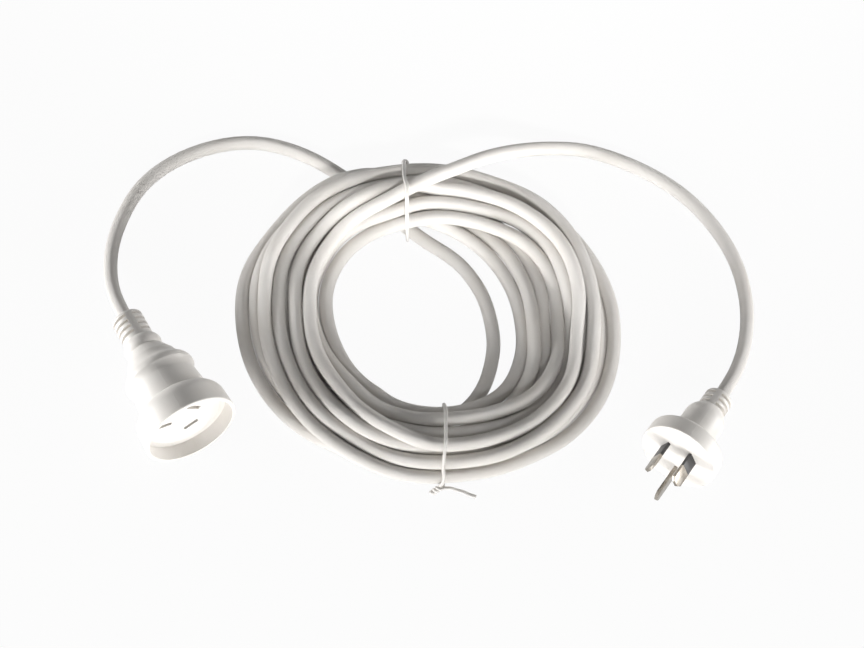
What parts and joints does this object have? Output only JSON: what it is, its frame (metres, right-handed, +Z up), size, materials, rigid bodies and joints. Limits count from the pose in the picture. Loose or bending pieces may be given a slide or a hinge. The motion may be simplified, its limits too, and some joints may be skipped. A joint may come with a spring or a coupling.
{
  "type": "extension cord",
  "caption": "Tied coil of white three-core extension cord with a moulded three-blade plug on one free arm and a shrouded socket on the other.",
  "frame": {"origin": "on the table under the middle of the box round the plug and the socket together", "axes": "+Z up from the table, +X from the socket towards the plug, -Y the side the plug and socket face"},
  "size_m": [0.3075, 0.1919, 0.0459],
  "materials": {
    "moulding": "satin moulded PVC",
    "sheath": "satin PVC sheath",
    "face": "moulded, fine grain",
    "insert": "hard moulded insert",
    "blade": "nickel plated, lightly brushed",
    "sleeve": "black moulded insulation",
    "contact": "stamped spring brass",
    "core_brown": "core insulation",
    "core_blue": "core insulation",
    "core_green": "core insulation, green with a yellow stripe",
    "tie": "plastic-coated wire"
  },
  "bodies": {
    "lead": {"plug_body": "moulding", "plug_pin_carrier": "insert", "active_pin": "blade", "neutral_pin": "blade", "earth_pin": "blade", "active_pin_sleeve": "sleeve", "neutral_pin_sleeve": "sleeve", "plug_active_core": "core_brown", "plug_neutral_core": "core_blue", "plug_earth_core": "core_green", "plug_sheath_end": "sheath", "socket_body": "moulding", "socket_face": "face", "socket_contact_carrier": "insert", "socket_active_contact": "contact", "socket_neutral_contact": "contact", "socket_earth_contact": "contact", "socket_active_core": "core_brown", "socket_neutral_core": "core_blue", "socket_earth_core": "core_green", "socket_sheath_end": "sheath", "cord_socket_end": "sheath", "cord_coil": "sheath", "cord_plug_end": "sheath", "tie_top": "tie", "tie_bottom": "tie"}
  },
  "joints": []
}
